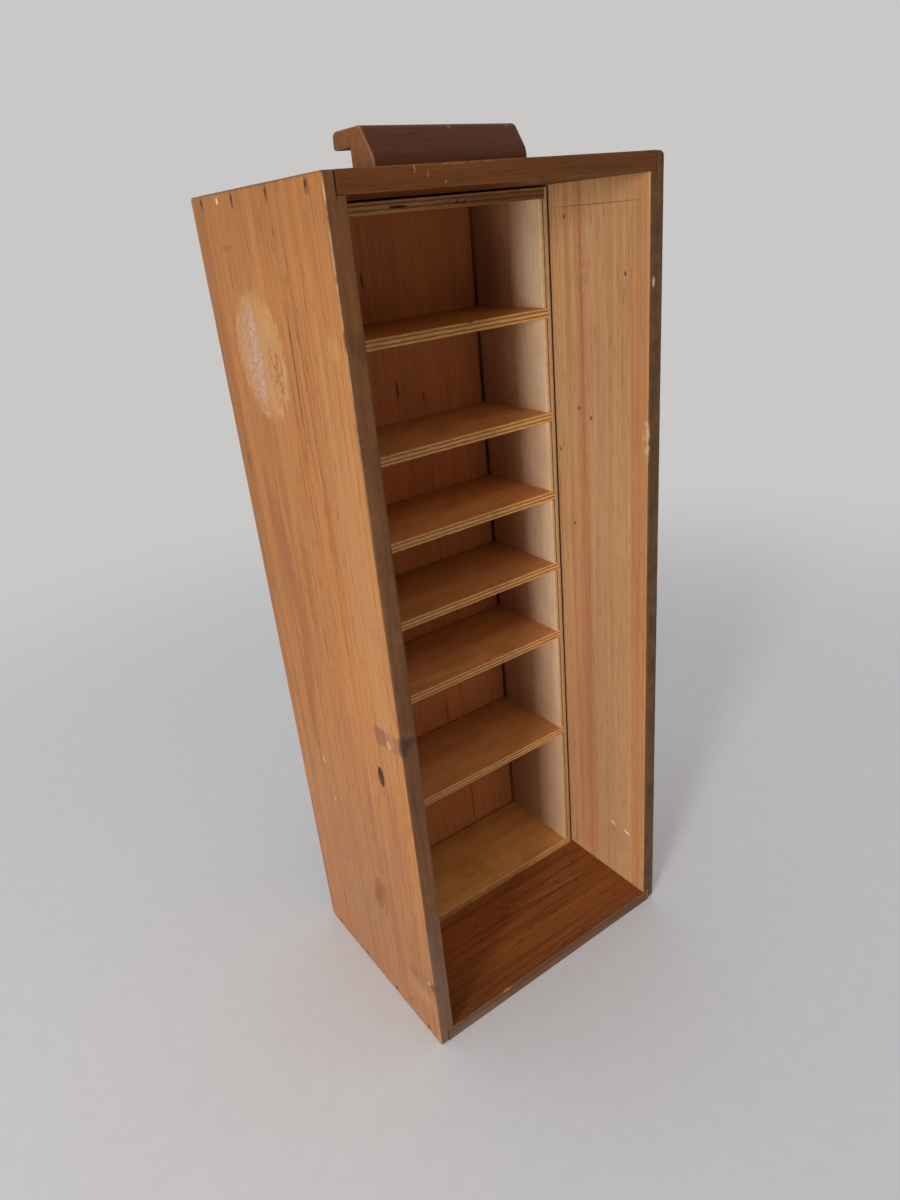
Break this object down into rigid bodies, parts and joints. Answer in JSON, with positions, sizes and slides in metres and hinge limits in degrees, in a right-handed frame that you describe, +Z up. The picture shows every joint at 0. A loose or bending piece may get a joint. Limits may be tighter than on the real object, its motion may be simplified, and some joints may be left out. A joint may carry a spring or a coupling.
{
  "type": "bobbin box",
  "caption": "Upright open-fronted wooden box with a finger pull on top and a draw-out plywood tray of shelves that sorts bobbins, reels and small sewing notions.",
  "frame": {"origin": "middle of the box's footprint, on the surface that it stands on", "axes": "+Z up, the open front faces -Y, +X to the right as seen from the front"},
  "size_m": [0.196, 0.147, 0.5208],
  "materials": {
    "pine": "old oiled pine",
    "pine_dark": "dark red-brown stained pine",
    "stained_front": "dark stained board, worn",
    "stained_pull": "dark stained hardwood, worn",
    "birch_plywood": "aged birch plywood",
    "steel": "dull darkened steel"
  },
  "bodies": {
    "box": {"left_side": "pine", "right_side": "pine", "top_board": "stained_front", "bottom_board": "pine_dark", "back_panel": "pine_dark", "pull": "stained_pull", "pull_screws": "steel", "left_top_nails": "steel", "right_top_nails": "steel", "left_bottom_nails": "steel", "right_bottom_nails": "steel", "back_pins": "steel"},
    "tray": {"tray_left_wall": "birch_plywood", "tray_right_wall": "birch_plywood", "tray_top": "birch_plywood", "tray_bottom": "birch_plywood", "shelf_1": "birch_plywood", "shelf_2": "birch_plywood", "shelf_3": "birch_plywood", "shelf_4": "birch_plywood", "shelf_5": "birch_plywood", "shelf_6": "birch_plywood", "tray_left_pins": "steel", "tray_right_pins": "steel"}
  },
  "joints": [
    {"name": "tray_slide", "type": "slide", "parent": "box", "child": "tray", "axis": [0, -1, 0], "range_m": [0, 0.15]}
  ]
}
